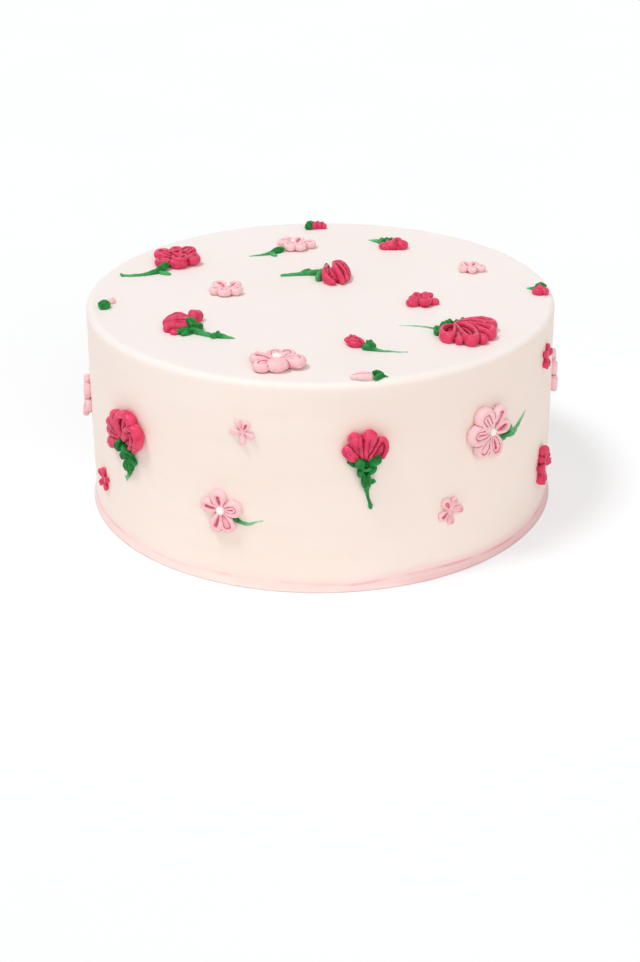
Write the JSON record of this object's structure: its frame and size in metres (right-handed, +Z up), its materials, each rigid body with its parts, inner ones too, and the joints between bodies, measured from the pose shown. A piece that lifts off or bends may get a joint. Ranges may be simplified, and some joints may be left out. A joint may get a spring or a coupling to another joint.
{
  "type": "birthday cake",
  "caption": "Round cake under smooth pale buttercream, with piped red and pink buttercream flowers and green stems over its top and wall, and a soft pink band round its foot.",
  "frame": {"origin": "centre of the flat base", "axes": "+Z up, -Y towards the front of the cake"},
  "size_m": [0.2426, 0.2449, 0.1123],
  "materials": {
    "frosting": "smooth matte buttercream, off-white, brushed pink at the foot",
    "red_icing": "satin piped buttercream, crimson red",
    "pink_icing": "satin piped buttercream, pale pink with a cream middle",
    "green_icing": "satin piped buttercream, leaf green, paler at the stem's tip"
  },
  "bodies": {
    "root": {"bud_pink_top_11": "pink_icing", "bud_pink_top_15": "pink_icing", "bud_red_top_1": "red_icing", "bud_red_top_13": "red_icing", "bud_red_top_3": "red_icing", "bud_red_top_7": "red_icing", "cake": "frosting", "flower_pink_top_14": "pink_icing", "flower_pink_top_2": "pink_icing", "flower_pink_top_5": "pink_icing", "flower_pink_top_8": "pink_icing", "flower_pink_wall_1": "pink_icing", "flower_pink_wall_10": "pink_icing", "flower_pink_wall_12": "pink_icing", "flower_pink_wall_14": "pink_icing", "flower_pink_wall_17": "pink_icing", "flower_pink_wall_18": "pink_icing", "flower_pink_wall_21": "pink_icing", "flower_pink_wall_22": "pink_icing", "flower_pink_wall_3": "pink_icing", "flower_pink_wall_5": "pink_icing", "flower_pink_wall_7": "pink_icing", "flower_pink_wall_8": "pink_icing", "flower_red_top_10": "red_icing", "flower_red_top_12": "red_icing", "flower_red_top_4": "red_icing", "flower_red_top_6": "red_icing", "flower_red_top_9": "red_icing", "flower_red_wall_11": "red_icing", "flower_red_wall_13": "red_icing", "flower_red_wall_15": "red_icing", "flower_red_wall_16": "red_icing", "flower_red_wall_19": "red_icing", "flower_red_wall_2": "red_icing", "flower_red_wall_20": "red_icing", "flower_red_wall_4": "red_icing", "flower_red_wall_6": "red_icing", "flower_red_wall_9": "red_icing", "green_top_1": "green_icing", "green_top_10": "green_icing", "green_top_11": "green_icing", "green_top_12": "green_icing", "green_top_13": "green_icing", "green_top_15": "green_icing", "green_top_2": "green_icing", "green_top_3": "green_icing", "green_top_4": "green_icing", "green_top_6": "green_icing", "green_top_7": "green_icing", "green_wall_13": "green_icing", "green_wall_14": "green_icing", "green_wall_16": "green_icing", "green_wall_18": "green_icing", "green_wall_2": "green_icing", "green_wall_20": "green_icing", "green_wall_5": "green_icing", "green_wall_6": "green_icing", "green_wall_7": "green_icing"}
  },
  "joints": []
}
